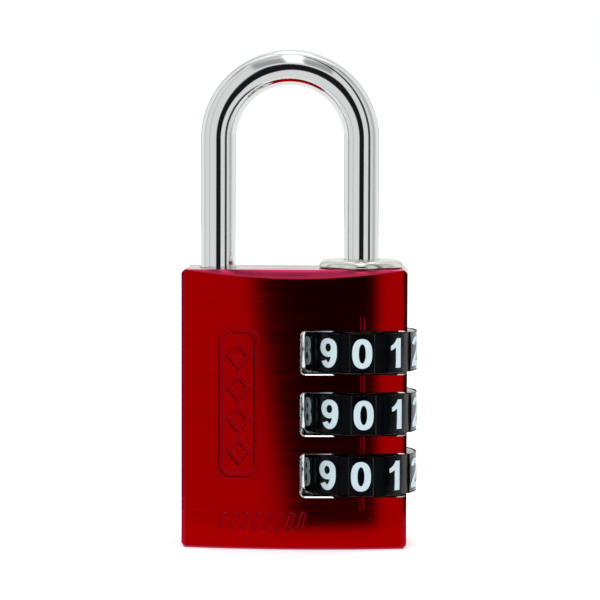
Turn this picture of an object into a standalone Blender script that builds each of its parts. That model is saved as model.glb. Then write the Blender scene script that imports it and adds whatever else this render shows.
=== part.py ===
"""Three-wheel combination padlock, modelled as the pieces it comes apart into.

Metres, +Z up. +X runs to the side where the number wheels show, and the front faces -Y. The origin is the
centre of the body's flat bottom. The long leg of the shackle, the three number wheels and their clutch
sleeves share one vertical axis at x = STACK_X.
"""
import math

import bmesh
import bpy
from mathutils import Matrix

# Body
BODY_WIDTH = 0.0300
BODY_HEIGHT = 0.03715
SIDE_DEPTH = 0.0110            # depth front to back at the two sides
BULGE = 0.0015                 # how far each curved face stands out at the middle
FACE_SEGMENTS = 16
SIDE_CORNER = 0.00025
BASE_CORNER = 0.00045
TOP_CORNER = 0.00045           # cut along the top's left and right edges
CROWN_SLOPE = math.radians(36.7)   # slope of the facets along the top's front and back edges
CROWN_CUTTER = 0.012

# Shackle
STACK_X = 0.00875
TOE_X = -0.01045
ROD_RADIUS = 0.00235
BOW_CENTRE_Z = 0.05435
LONG_LEG_END_Z = 0.00365
TOE_END_Z = 0.03075
ROD_CHAMFER = 0.0005
BOW_SEGMENTS = 24
SHACKLE_LIFT = 0.0080
SOCKET_RADIUS = 0.00255
SOCKET_FLOOR_Z = 0.03025

# Number wheels and the slots that they sit in
WHEEL_PITCH = 0.00815
WHEEL_CENTRES_Z = [0.0262 - WHEEL_PITCH * index for index in range(3)]
WHEEL_RADIUS = 0.00765
WHEEL_HEIGHT = 0.0053
WHEEL_RIM_CHAMFER = 0.0004
DIGITS = 10
DIGIT_STEP = 2.0 * math.pi / DIGITS
PAD_HALF_ANGLE = math.radians(12.5)
FLUTE_HALF_ANGLE = math.radians(3.6)
FLUTE_DEPTH = 0.0003
SLOT_HEIGHT = 0.0056
SLOT_END_X = 0.0010
SLOT_CORNER = 0.0005

# Splines between wheel and clutch
SPLINE_HOLLOW_RADIUS = 0.0050      # wheel, between its teeth
SPLINE_TIP_RADIUS = 0.0045         # wheel, on its teeth
TOOTH_ROOT_RADIUS = 0.0044         # clutch sleeve
TOOTH_TIP_RADIUS = 0.0049          # clutch, on its teeth
TOOTH_TOP_BELOW_CENTRE = 0.00125
TOOTH_HEIGHT = 0.00135
TOOTH_FLANK_GAP = math.radians(1.5)

# Clutch stack
BORE_RADIUS = 0.0050
BORE_FLOOR_Z = 0.00145
CLUTCH_TOP_ABOVE_WHEEL = 0.0045    # top of a clutch above the middle of its wheel
CLUTCH_HEIGHT = 0.0081
RING_HEIGHT = 0.00505
RING_HOLE_RADIUS = 0.0025
CAVITY_RADIUS = 0.0039
KEYWAY_WIDTH = 0.0015
CODE_RESET_TRAVEL = 0.0015

# Lug pins in the long leg
PIN_RADIUS = 0.0006
PIN_HOLE_RADIUS = 0.00065
PIN_REACH = 0.0037                 # from the leg's axis to the tip
PIN_TAIL = 0.0011                  # from the leg's axis to the inner end
PIN_HOLE_TAIL = 0.0012
PIN_ABOVE_RING = 0.0003            # space between a pin and the ring below it

# Thrust washer and reset spring
WASHER_RADIUS = 0.0048
WASHER_HOLE_RADIUS = 0.00255
WASHER_HEIGHT = 0.0008
STACK_GAP = 0.0001
RESET_COIL_RADIUS = 0.0041
RESET_WIRE_RADIUS = 0.00025
RESET_TURNS = 3.5

# Collar
COLLAR_FLANGE_RADIUS = 0.00568
COLLAR_FLANGE_HEIGHT = 0.0011
COLLAR_SPIGOT_RADIUS = 0.0049
COLLAR_HOLE_RADIUS = 0.00255
COLLAR_SEAT_GAP = 0.00005
COLLAR_UNDERSIDE_Z = 0.0321
COLLAR_EDGE = 0.0004

# Ball detents
BALL_RADIUS = 0.0009
BALL_INTO_FLUTE = 0.00004          # how far the ball stands inside the wheel's outside radius
BALL_HOLE_RADIUS = 0.00098
BALL_HOLE_END_X = -0.00395
DETENT_COIL_RADIUS = 0.00062
DETENT_WIRE_RADIUS = 0.00011
DETENT_TURNS = 5
DETENT_GAP = 0.00008

# Index line down the front
INDEX_X = 0.0091
INDEX_WIDTH = 0.00076
INDEX_DEPTH = 0.00015
INDEX_LOW_Z = 0.0051
INDEX_HIGH_Z = 0.0311

# Colour, roughness and metallic value of each material
FINISHES = {
    "red_anodised_aluminium": ((0.36, 0.0, 0.004), 0.32, 1.0),
    "chromed_steel": ((0.80, 0.81, 0.83), 0.08, 1.0),
    "nickel_plate": ((0.62, 0.60, 0.57), 0.18, 1.0),
    "black_plastic": ((0.012, 0.013, 0.014), 0.38, 0.0),
    "brass": ((0.70, 0.48, 0.18), 0.30, 1.0),
    "bright_steel": ((0.55, 0.56, 0.58), 0.25, 1.0),
    "spring_steel": ((0.42, 0.43, 0.45), 0.35, 1.0),
}

ROUND_STEPS = 36
SMALL_ROUND_STEPS = 16
WELD_DISTANCE = 0.000001


def clear_scene():
    for item in list(bpy.data.objects):
        bpy.data.objects.remove(item, do_unlink=True)


def make_collection(name):
    collection = bpy.data.collections.new(name)
    bpy.context.scene.collection.children.link(collection)
    return collection


def make_material(name):
    colour, roughness, metallic = FINISHES[name]
    material = bpy.data.materials.get(name) or bpy.data.materials.new(name)
    material.use_nodes = True
    shader = material.node_tree.nodes["Principled BSDF"]
    shader.inputs["Base Color"].default_value = (*colour, 1.0)
    shader.inputs["Roughness"].default_value = roughness
    shader.inputs["Metallic"].default_value = metallic
    material.diffuse_color = (*colour, 1.0)
    return material


def add_object(name, data, collection, location=(0.0, 0.0, 0.0)):
    item = bpy.data.objects.new(name, data)
    item.location = location
    collection.objects.link(item)
    return item


def finish_part(item, finish):
    """Give a part its material and smooth shading with sharp edges kept."""
    item.data.materials.clear()
    item.data.materials.append(make_material(finish))
    if item.type == "MESH":
        item.data.shade_smooth()
        item.data.set_sharp_from_angle(angle=math.radians(35.0))


def mark_cutter(item):
    item.hide_render = True
    item.display_type = "WIRE"


def arc(radius, start, end, steps, centre=(0.0, 0.0)):
    """Points along a circular arc, both ends included."""
    points = []
    for index in range(steps + 1):
        angle = start + (end - start) * index / steps
        points.append((centre[0] + radius * math.cos(angle), centre[1] + radius * math.sin(angle)))
    return points


def circle(radius, steps, centre=(0.0, 0.0)):
    return arc(radius, 0.0, 2.0 * math.pi, steps, centre)[:-1]


def curve_to_mesh(item, collection):
    """Turn a curve object into a welded mesh object with the same name and place."""
    bpy.context.view_layer.update()
    evaluated = item.evaluated_get(bpy.context.evaluated_depsgraph_get())
    mesh = bpy.data.meshes.new_from_object(evaluated)
    welded = bmesh.new()
    welded.from_mesh(mesh)
    bmesh.ops.remove_doubles(welded, verts=welded.verts, dist=WELD_DISTANCE)
    bmesh.ops.recalc_face_normals(welded, faces=welded.faces)
    welded.to_mesh(mesh)
    welded.free()
    name = item.name
    placement = item.matrix_world.copy()
    bpy.data.objects.remove(item, do_unlink=True)
    solid = add_object(name, mesh, collection)
    solid.matrix_world = placement
    return solid


def plate(name, outlines, low_z, high_z, collection, location=(0.0, 0.0, 0.0)):
    """A flat outline, with any holes, as a solid between two heights above the object's origin."""
    curve = bpy.data.curves.new(name, "CURVE")
    curve.dimensions = "2D"
    curve.fill_mode = "BOTH"
    curve.extrude = (high_z - low_z) / 2.0
    for outline in outlines:
        spline = curve.splines.new("POLY")
        spline.points.add(len(outline) - 1)
        for point, (x, y) in zip(spline.points, outline):
            point.co = (x, y, 0.0, 1.0)
        spline.use_cyclic_u = True
    item = add_object(name, curve, collection)
    solid = curve_to_mesh(item, collection)
    solid.data.transform(Matrix.Translation((0.0, 0.0, (low_z + high_z) / 2.0)))
    solid.location = location
    return solid


def turned(name, profile, collection, location=(0.0, 0.0, 0.0), steps=ROUND_STEPS, ring=False):
    """A profile of (radius, height) points turned about Z. A ring's profile is closed on itself."""
    mesh = bpy.data.meshes.new(name)
    vertices = [(radius, 0.0, height) for radius, height in profile]
    edges = [(index, index + 1) for index in range(len(profile) - 1)]
    if ring:
        edges.append((len(profile) - 1, 0))
    mesh.from_pydata(vertices, edges, [])
    item = add_object(name, mesh, collection, location)
    screw = item.modifiers.new("turn", "SCREW")
    screw.axis = "Z"
    screw.steps = steps
    screw.render_steps = steps
    screw.use_merge_vertices = True
    screw.merge_threshold = WELD_DISTANCE
    return item


def rod(name, radius, length, axis, centre, collection, steps=SMALL_ROUND_STEPS):
    """A plain cylinder along X, Y or Z."""
    turn = {
        "X": Matrix.Rotation(math.radians(90.0), 4, "Y"),
        "Y": Matrix.Rotation(math.radians(90.0), 4, "X"),
        "Z": Matrix.Identity(4),
    }[axis]
    solid = bmesh.new()
    bmesh.ops.create_cone(solid, cap_ends=True, segments=steps, radius1=radius, radius2=radius,
                          depth=length, matrix=turn)
    mesh = bpy.data.meshes.new(name)
    solid.to_mesh(mesh)
    solid.free()
    return add_object(name, mesh, collection, centre)


def box(name, size, centre, collection, turn=Matrix.Identity(4)):
    solid = bmesh.new()
    bmesh.ops.create_cube(solid, size=1.0, matrix=turn @ Matrix.Diagonal((*size, 1.0)))
    mesh = bpy.data.meshes.new(name)
    solid.to_mesh(mesh)
    solid.free()
    return add_object(name, mesh, collection, centre)


def combine(item, other, operation):
    step = item.modifiers.new(other.name, "BOOLEAN")
    step.operation = operation
    step.solver = "EXACT"
    step.object = other
    mark_cutter(other)


def coil(name, coil_radius, wire_radius, turns, length, collection, points_per_turn=12):
    """A helical spring along the object's +Z, its wire's middle running from 0 to length."""
    curve = bpy.data.curves.new(name, "CURVE")
    curve.dimensions = "3D"
    curve.bevel_depth = wire_radius
    curve.bevel_resolution = 2
    curve.use_fill_caps = True
    count = round(turns * points_per_turn)
    spline = curve.splines.new("POLY")
    spline.points.add(count)
    for index, point in enumerate(spline.points):
        share = index / count
        angle = 2.0 * math.pi * turns * share
        point.co = (coil_radius * math.cos(angle), coil_radius * math.sin(angle), length * share, 1.0)
    return add_object(name, curve, collection)


def body_outline():
    """The body seen from above: two straight sides and two shallow arcs."""
    half_width = BODY_WIDTH / 2.0
    half_side = SIDE_DEPTH / 2.0
    face_radius = (half_width ** 2 + BULGE ** 2) / (2.0 * BULGE)
    middle_y = half_side + BULGE - face_radius
    sweep = math.asin((half_width - SIDE_CORNER) / face_radius)
    back = arc(face_radius, math.pi / 2 - sweep, math.pi / 2 + sweep, FACE_SEGMENTS, (0.0, middle_y))
    left = [(-half_width, half_side - SIDE_CORNER), (-half_width, -half_side + SIDE_CORNER)]
    front = [(-x, -y) for x, y in back]
    right = [(half_width, -half_side + SIDE_CORNER), (half_width, half_side - SIDE_CORNER)]
    return back + left + front + right


def face_y(x):
    """Distance of the curved face from the middle plane at a given x."""
    half_width = BODY_WIDTH / 2.0
    face_radius = (half_width ** 2 + BULGE ** 2) / (2.0 * BULGE)
    return SIDE_DEPTH / 2.0 + BULGE - face_radius + math.sqrt(face_radius ** 2 - x ** 2)


def bevel_base(item):
    """Break the sharp edge around the bottom face."""
    solid = bmesh.new()
    solid.from_mesh(item.data)
    low = min(vertex.co.z for vertex in solid.verts)
    rim = [edge for edge in solid.edges
           if all(abs(vertex.co.z - low) < WELD_DISTANCE for vertex in edge.verts)
           and any(abs(face.normal.z) < 0.5 for face in edge.link_faces)]
    bmesh.ops.bevel(solid, geom=rim, offset=BASE_CORNER, segments=1, affect="EDGES")
    solid.to_mesh(item.data)
    solid.free()


def slot_cutter(name, centre_z, collection):
    """A slot open at the right side, with two rounded corners at its closed end."""
    length = BODY_WIDTH
    high = SLOT_HEIGHT / 2.0
    upper = arc(SLOT_CORNER, math.pi / 2, math.pi, 4, (SLOT_CORNER, high - SLOT_CORNER))
    lower = arc(SLOT_CORNER, math.pi, 1.5 * math.pi, 4, (SLOT_CORNER, SLOT_CORNER - high))
    outline = upper + lower + [(length, -high), (length, high)]
    depth = SIDE_DEPTH
    cutter = plate(name, [outline], -depth, depth, collection)
    cutter.data.transform(Matrix.Rotation(math.radians(90.0), 4, "X"))
    cutter.location = (SLOT_END_X, 0.0, centre_z)
    return cutter


def make_body(parts, cutters):
    body = plate("lock_body", [body_outline()], 0.0, BODY_HEIGHT, parts)
    bevel_base(body)
    for side in (-1.0, 1.0):
        turn = Matrix.Rotation(-side * CROWN_SLOPE, 4, "X")
        size = (2.0 * BODY_WIDTH, CROWN_CUTTER, CROWN_CUTTER)
        lift = turn @ Matrix.Translation((0.0, side * CROWN_CUTTER / 4.0, CROWN_CUTTER / 2.0))
        offset = lift.to_translation()
        centre = (0.0, side * SIDE_DEPTH / 2.0 + offset.y, BODY_HEIGHT + offset.z)
        name = "crown_front_cutter" if side < 0.0 else "crown_back_cutter"
        combine(body, box(name, size, centre, cutters, turn), "DIFFERENCE")
    for side in (-1.0, 1.0):
        turn = Matrix.Rotation(side * math.radians(45.0), 4, "Y")
        size = (CROWN_CUTTER, 2.0 * SIDE_DEPTH, CROWN_CUTTER)
        lift = turn @ Matrix.Translation((0.0, 0.0, CROWN_CUTTER / 2.0))
        offset = lift.to_translation()
        centre = (side * (BODY_WIDTH - TOP_CORNER) / 2.0 + offset.x, 0.0,
                  BODY_HEIGHT - TOP_CORNER / 2.0 + offset.z)
        name = "top_left_cutter" if side < 0.0 else "top_right_cutter"
        combine(body, box(name, size, centre, cutters, turn), "DIFFERENCE")
    bore_length = 2.0 * (BODY_HEIGHT - BORE_FLOOR_Z)
    bore = rod("bore_cutter", BORE_RADIUS, bore_length, "Z", (STACK_X, 0.0, BORE_FLOOR_Z + bore_length / 2.0),
               cutters, ROUND_STEPS)
    combine(body, bore, "DIFFERENCE")
    socket_length = 2.0 * (BODY_HEIGHT - SOCKET_FLOOR_Z)
    socket = rod("socket_cutter", SOCKET_RADIUS, socket_length, "Z",
                 (TOE_X, 0.0, SOCKET_FLOOR_Z + socket_length / 2.0), cutters, ROUND_STEPS // 2)
    combine(body, socket, "DIFFERENCE")
    for number, centre_z in enumerate(WHEEL_CENTRES_Z, start=1):
        combine(body, slot_cutter(f"slot_cutter_{number}", centre_z, cutters), "DIFFERENCE")
        hole_length = STACK_X - BALL_HOLE_END_X
        hole = rod(f"ball_hole_cutter_{number}", BALL_HOLE_RADIUS, hole_length, "X",
                   (BALL_HOLE_END_X + hole_length / 2.0, 0.0, centre_z), cutters)
        combine(body, hole, "DIFFERENCE")
    groove_radius = ((INDEX_WIDTH / 2.0) ** 2 + INDEX_DEPTH ** 2) / (2.0 * INDEX_DEPTH)
    groove_y = -(face_y(INDEX_X) - INDEX_DEPTH + groove_radius)
    groove = rod("index_line_cutter", groove_radius, INDEX_HIGH_Z - INDEX_LOW_Z, "Z",
                 (INDEX_X, groove_y, (INDEX_HIGH_Z + INDEX_LOW_Z) / 2.0), cutters)
    combine(body, groove, "DIFFERENCE")
    finish_part(body, "red_anodised_aluminium")


def pin_height(number):
    """Height of a lug pin's axis: just above the ring of the clutch below it, or above the washer."""
    ring_below = WHEEL_CENTRES_Z[number - 1] + CLUTCH_TOP_ABOVE_WHEEL - WHEEL_PITCH
    return ring_below + PIN_ABOVE_RING + PIN_RADIUS


def make_shackle(parts, cutters):
    bow_radius = (STACK_X - TOE_X) / 2.0
    bow_x = (STACK_X + TOE_X) / 2.0
    path = [(STACK_X, LONG_LEG_END_Z)]
    path += arc(bow_radius, 0.0, math.pi, BOW_SEGMENTS, (bow_x, BOW_CENTRE_Z))
    path += [(TOE_X, TOE_END_Z)]
    curve = bpy.data.curves.new("shackle", "CURVE")
    curve.dimensions = "3D"
    curve.bevel_depth = ROD_RADIUS
    curve.bevel_resolution = 4
    curve.use_fill_caps = True
    spline = curve.splines.new("POLY")
    spline.points.add(len(path) - 1)
    for point, (x, z) in zip(spline.points, path):
        point.co = (x - STACK_X, 0.0, z, 1.0)
    item = add_object("shackle", curve, parts, (STACK_X, 0.0, 0.0))
    shackle = curve_to_mesh(item, parts)
    solid = bmesh.new()
    solid.from_mesh(shackle.data)
    rims = [edge for edge in solid.edges
            if any(face.normal.z < -0.9 for face in edge.link_faces)
            and any(abs(face.normal.z) < 0.5 for face in edge.link_faces)]
    bmesh.ops.bevel(solid, geom=rims, offset=ROD_CHAMFER, segments=2, affect="EDGES")
    solid.to_mesh(shackle.data)
    solid.free()
    for number in range(1, 4):
        length = PIN_HOLE_TAIL + 2.0 * ROD_RADIUS
        centre = (STACK_X, PIN_HOLE_TAIL - length / 2.0, pin_height(number))
        hole = rod(f"pin_hole_cutter_{number}", PIN_HOLE_RADIUS, length, "Y", centre, cutters)
        combine(shackle, hole, "DIFFERENCE")
        pin_length = PIN_REACH + PIN_TAIL
        pin = rod(f"lug_pin_{number}", PIN_RADIUS, pin_length, "Y",
                  (STACK_X, PIN_TAIL - pin_length / 2.0, pin_height(number)), parts)
        finish_part(pin, "bright_steel")
    finish_part(shackle, "chromed_steel")


def make_collar(parts):
    seat = BODY_HEIGHT + COLLAR_SEAT_GAP
    top = seat + COLLAR_FLANGE_HEIGHT
    edge = COLLAR_EDGE
    upper = arc(edge, math.pi / 2, 0.0, 3, (COLLAR_FLANGE_RADIUS - edge, top - edge))
    lower = arc(edge / 2.0, 0.0, -math.pi / 2, 1, (COLLAR_FLANGE_RADIUS - edge / 2.0, seat + edge / 2.0))
    mouth = arc(edge, math.pi, math.pi / 2, 2, (COLLAR_HOLE_RADIUS + edge, top - edge))
    spigot = [(COLLAR_SPIGOT_RADIUS, seat), (COLLAR_SPIGOT_RADIUS, COLLAR_UNDERSIDE_Z),
              (COLLAR_HOLE_RADIUS, COLLAR_UNDERSIDE_Z)]
    collar = turned("shackle_collar", mouth + upper + lower + spigot, parts, (STACK_X, 0.0, 0.0), ring=True)
    finish_part(collar, "nickel_plate")


def wheel_outline():
    """Ten raised pads, one for each digit, with a shallow flute between neighbours."""
    points = []
    flute_radius = WHEEL_RADIUS - FLUTE_DEPTH
    for digit in range(DIGITS):
        middle = -math.pi / 2 + digit * DIGIT_STEP
        points += arc(WHEEL_RADIUS, middle - PAD_HALF_ANGLE, middle + PAD_HALF_ANGLE, 4)
        flute = middle + DIGIT_STEP / 2.0
        points += arc(flute_radius, flute - FLUTE_HALF_ANGLE, flute + FLUTE_HALF_ANGLE, 1)
    return points


def spline_outline(root_radius, tip_radius, root_half_angle):
    """A ring of ten teeth: flat tips between hollows of the given half angle."""
    points = []
    for tooth in range(DIGITS):
        middle = tooth * DIGIT_STEP
        points += arc(root_radius, middle - root_half_angle, middle + root_half_angle, 2)
        land = middle + DIGIT_STEP / 2.0
        tip_half_angle = DIGIT_STEP / 2.0 - root_half_angle
        points += arc(tip_radius, land - tip_half_angle, land + tip_half_angle, 2)
    return points


def make_wheels(parts, cutters):
    half = WHEEL_HEIGHT / 2.0
    quarter_step = DIGIT_STEP / 4.0
    edge = WHEEL_RIM_CHAMFER
    blank_profile = [(0.0, half), (WHEEL_RADIUS - edge, half), (WHEEL_RADIUS, half - edge),
                     (WHEEL_RADIUS, edge - half), (WHEEL_RADIUS - edge, -half), (0.0, -half)]
    for number, centre_z in enumerate(WHEEL_CENTRES_Z, start=1):
        place = (STACK_X, 0.0, centre_z)
        hole = spline_outline(SPLINE_HOLLOW_RADIUS, SPLINE_TIP_RADIUS, quarter_step)
        wheel = plate(f"number_wheel_{number}", [wheel_outline(), hole], -half - edge, half + edge, parts, place)
        blank = turned(f"wheel_blank_{number}", blank_profile, cutters, place, 60)
        combine(wheel, blank, "INTERSECT")
        finish_part(wheel, "black_plastic")


def make_clutches(parts, cutters):
    top = CLUTCH_TOP_ABOVE_WHEEL
    low = top - CLUTCH_HEIGHT
    cavity_top = top - RING_HEIGHT
    sleeve_profile = [(RING_HOLE_RADIUS, top), (TOOTH_ROOT_RADIUS, top), (TOOTH_ROOT_RADIUS, low),
                      (CAVITY_RADIUS, low), (CAVITY_RADIUS, cavity_top), (RING_HOLE_RADIUS, cavity_top)]
    tooth_top = -TOOTH_TOP_BELOW_CENTRE
    tooth_half_angle = DIGIT_STEP / 4.0 - TOOTH_FLANK_GAP
    inside = circle((TOOTH_ROOT_RADIUS + CAVITY_RADIUS) / 2.0, ROUND_STEPS)
    for number, centre_z in enumerate(WHEEL_CENTRES_Z, start=1):
        place = (STACK_X, 0.0, centre_z)
        clutch = turned(f"clutch_sleeve_{number}", sleeve_profile, parts, place, ring=True)
        teeth_outline = spline_outline(TOOTH_TIP_RADIUS, TOOTH_ROOT_RADIUS, tooth_half_angle)
        teeth = plate(f"clutch_teeth_{number}", [teeth_outline, inside], tooth_top - TOOTH_HEIGHT, tooth_top,
                      cutters, place)
        combine(clutch, teeth, "UNION")
        keyway = box(f"keyway_cutter_{number}", (KEYWAY_WIDTH, CAVITY_RADIUS, 2.0 * RING_HEIGHT),
                     (STACK_X, -CAVITY_RADIUS / 2.0, centre_z + cavity_top + RING_HEIGHT / 2.0), cutters)
        combine(clutch, keyway, "DIFFERENCE")
        finish_part(clutch, "brass")


def make_reset(parts):
    stack_foot = WHEEL_CENTRES_Z[-1] + CLUTCH_TOP_ABOVE_WHEEL - CLUTCH_HEIGHT
    washer_top = stack_foot - STACK_GAP
    washer_low = washer_top - WASHER_HEIGHT
    profile = [(WASHER_HOLE_RADIUS, washer_top), (WASHER_RADIUS, washer_top), (WASHER_RADIUS, washer_low),
               (WASHER_HOLE_RADIUS, washer_low)]
    washer = turned("thrust_washer", profile, parts, (STACK_X, 0.0, 0.0), ring=True)
    finish_part(washer, "bright_steel")
    spring_low = BORE_FLOOR_Z + STACK_GAP + RESET_WIRE_RADIUS
    spring_high = washer_low - STACK_GAP - RESET_WIRE_RADIUS
    spring = coil("reset_spring", RESET_COIL_RADIUS, RESET_WIRE_RADIUS, RESET_TURNS, spring_high - spring_low,
                  parts, 16)
    spring.location = (STACK_X, 0.0, spring_low)
    finish_part(spring, "spring_steel")


def make_detents(parts):
    wheel_edge_x = STACK_X - WHEEL_RADIUS
    ball_x = wheel_edge_x + BALL_INTO_FLUTE - BALL_RADIUS
    spring_high_x = ball_x - BALL_RADIUS - DETENT_GAP - DETENT_WIRE_RADIUS
    spring_low_x = BALL_HOLE_END_X + DETENT_GAP + DETENT_WIRE_RADIUS
    for number, centre_z in enumerate(WHEEL_CENTRES_Z, start=1):
        solid = bmesh.new()
        bmesh.ops.create_uvsphere(solid, u_segments=16, v_segments=10, radius=BALL_RADIUS,
                                  matrix=Matrix.Rotation(math.radians(90.0), 4, "Y"))
        mesh = bpy.data.meshes.new(f"detent_ball_{number}")
        solid.to_mesh(mesh)
        solid.free()
        ball = add_object(f"detent_ball_{number}", mesh, parts, (ball_x, 0.0, centre_z))
        finish_part(ball, "bright_steel")
        spring = coil(f"detent_spring_{number}", DETENT_COIL_RADIUS, DETENT_WIRE_RADIUS, DETENT_TURNS,
                      spring_high_x - spring_low_x, parts, 10)
        spring.location = (spring_low_x, 0.0, centre_z)
        spring.rotation_euler = (0.0, math.radians(90.0), 0.0)
        finish_part(spring, "spring_steel")


def main():
    clear_scene()
    parts = make_collection("combination_padlock")
    cutters = make_collection("cutters")
    make_body(parts, cutters)
    make_shackle(parts, cutters)
    make_collar(parts)
    make_wheels(parts, cutters)
    make_clutches(parts, cutters)
    make_reset(parts)
    make_detents(parts)


main()
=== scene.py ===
"""The looks of the combination padlock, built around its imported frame.

Metres, +Z up, the front faces -Y. Every place and size comes from the frame's own boxes, with the small
details that only the surface has named below.
"""

import math

import bmesh
import bpy
from mathutils import Matrix, Vector


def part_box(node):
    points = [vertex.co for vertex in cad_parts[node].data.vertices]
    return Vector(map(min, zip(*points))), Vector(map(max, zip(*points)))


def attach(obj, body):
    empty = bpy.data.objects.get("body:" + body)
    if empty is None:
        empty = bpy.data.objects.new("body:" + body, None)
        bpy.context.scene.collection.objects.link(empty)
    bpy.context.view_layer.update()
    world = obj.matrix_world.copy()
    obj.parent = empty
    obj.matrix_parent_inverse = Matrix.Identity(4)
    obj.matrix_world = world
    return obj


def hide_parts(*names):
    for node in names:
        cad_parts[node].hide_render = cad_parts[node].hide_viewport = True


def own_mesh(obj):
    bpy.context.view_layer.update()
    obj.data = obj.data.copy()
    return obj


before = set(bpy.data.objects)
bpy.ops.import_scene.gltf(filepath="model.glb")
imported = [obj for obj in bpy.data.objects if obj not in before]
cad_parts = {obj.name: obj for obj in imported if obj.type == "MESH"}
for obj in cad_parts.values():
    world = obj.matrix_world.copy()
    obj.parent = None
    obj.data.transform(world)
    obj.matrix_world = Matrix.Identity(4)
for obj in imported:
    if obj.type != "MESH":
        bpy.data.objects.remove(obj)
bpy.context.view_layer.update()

MM = 0.001
WELD = 1e-7


def middle(node):
    low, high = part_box(node)
    return (low + high) / 2.0


# ---- sizes read from the frame
BODY_LOW, BODY_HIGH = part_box("lock_body")
HALF_WIDTH = BODY_HIGH.x
HALF_DEPTH = BODY_HIGH.y
BODY_TOP = BODY_HIGH.z
STACK_X = middle("shackle_collar").x
WHEELS = ("number_wheel_1", "number_wheel_2", "number_wheel_3")
WHEEL_Z = [middle(name).z for name in WHEELS]
WHEEL_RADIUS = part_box(WHEELS[0])[1].y
WHEEL_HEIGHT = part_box(WHEELS[0])[1].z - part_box(WHEELS[0])[0].z
SHACKLE_LOW, SHACKLE_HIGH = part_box("shackle")
ROD_RADIUS = SHACKLE_HIGH.y
TOE_X = SHACKLE_LOW.x + ROD_RADIUS
BOW_RADIUS = (STACK_X - TOE_X) / 2.0
BOW_Z = SHACKLE_HIGH.z - ROD_RADIUS - BOW_RADIUS
COLLAR_LOW, COLLAR_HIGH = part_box("shackle_collar")
BALL_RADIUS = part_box("detent_ball_1")[1].y

# ---- body details
SIDE_HALF_DEPTH = 5.5 * MM
CHAMFER_RISE = 0.05            # how far an upright chamfer's direction may point up or down
FACE_RISE = 0.01               # the same for the two curved faces
FACE_TURN = 0.975              # and how squarely those look forward or back
CROWN_SLOPE = math.radians(36.7)
END_CHAMFER = 0.45 * MM        # along the top and bottom of the two sides
SIDE_CORNER = 0.22 * MM        # along their upright edges
BASE_CORNER = 0.25 * MM
EDGE_ROUND = 0.11 * MM
FACE_STRIPS = 96
BORE_RADIUS = 5.0 * MM
BORE_FLOOR = 1.45 * MM
SOCKET_RADIUS = 2.55 * MM
SOCKET_FLOOR = 30.25 * MM
SLOT_HEIGHT = 5.6 * MM
SLOT_END_X = 1.0 * MM
SLOT_CORNER = 0.55 * MM
SLOT_CHAMFER = 0.14 * MM
BALL_HOLE_RADIUS = 0.98 * MM
BALL_HOLE_END_X = -3.95 * MM
BALL_SETBACK = 0.05 * MM       # the balls clear the pads when a wheel is between two detents
INDEX_X = 9.1 * MM
INDEX_LINE = (0.58 * MM, 0.26 * MM)
INDEX_SPAN = (5.1 * MM, 31.1 * MM)

PANEL_CENTRE = (-7.32 * MM, 19.5 * MM)
PANEL_SIZE = (4.67 * MM, 19.2 * MM)
PANEL_CORNER = 1.35 * MM
PANEL_LINE = (0.76 * MM, 0.27 * MM)       # width and depth of the engraved line
MARK_LINE = (0.82 * MM, 0.27 * MM)
MARK_COUNT = 4
MARK_PITCH = 4.2 * MM
MARK_HALF = (1.30 * MM, 1.50 * MM)
TICK_LINE = (0.76 * MM, 0.25 * MM)
WALL_SLOPE = 0.5
LIP_SLOPE = 2.4                # the eased lips of every engraved line
LIP_DEPTH = 0.035 * MM
TICK_COUNT = 8
TICK_SPAN = (-9.55 * MM, 1.1 * MM)
TICK_HEIGHT = (2.7 * MM, 4.95 * MM)
TICK_LEAN = 0.7 * MM

# ---- wheel details
DIGITS = 10
DIGIT_STEP = 2.0 * math.pi / DIGITS
PRINT_RELIEF = 0.02 * MM
PRINT_DEPTH = 0.10 * MM
DIGIT_HEIGHT = 3.92 * MM
PEN_ACROSS = 0.112          # half the pen's width and height, in digit heights
PEN_UP = 0.088
PRINT_MIDDLE = 0.53            # how far under the outside radius it lies, in print depths
PRINT_STEP = 0.012             # each part of a numeral is this much thicker, so no two share a plane
WHEEL_PLAY = (2.5, 4.2, 1.7)   # degrees that each wheel is drawn off its detent, to line its digits up
FLUTE_DEPTH = 0.30 * MM
RIM_CHAMFER = 0.14 * MM
SPLINE_HOLLOW = 5.0 * MM
SPLINE_TIP = 4.5 * MM
# From the middle of a pad, where the walls of the flutes and of the bore's splines start and end.
FLUTE_EDGE = (math.radians(11.9), math.radians(13.5))
TOOTH_EDGE = (math.radians(8.7), math.radians(9.3))

# ---- shackle and inner details
ROD_CHAMFER = 0.5 * MM
ROD_TIP = 0.8                  # the rod's ends, as a share of its radius
TOE_GAP = 0.5 * MM             # between the toe and its socket's floor
PIN_CLEARANCE = 0.04 * MM
PIN_HOLE_EXTRA = 0.1 * MM
BALL_ROWS = 24
BALL_SIDES = 48
BALL_SPRING = (5.0, 0.11 * MM)      # turns and wire radius
RESET_SPRING = (3.5, 0.25 * MM)
COIL_STEPS = 32                # points for each turn
FULL_TURN = 2.0 * math.pi


# ---- mesh helpers
def add_mesh(name, mesh):
    item = bpy.data.objects.new(name, mesh)
    bpy.context.scene.collection.objects.link(item)
    return item


def smooth(item, degrees):
    item.data.shade_smooth()
    item.data.set_sharp_from_angle(angle=math.radians(degrees))


def arc(radius, start, end, steps, centre=(0.0, 0.0)):
    points = []
    for index in range(steps + 1):
        angle = start + (end - start) * index / steps
        points.append((centre[0] + radius * math.cos(angle), centre[1] + radius * math.sin(angle)))
    return points


def circle(radius, steps, centre=(0.0, 0.0)):
    return arc(radius, 0.0, FULL_TURN, steps, centre)[:-1]


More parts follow.
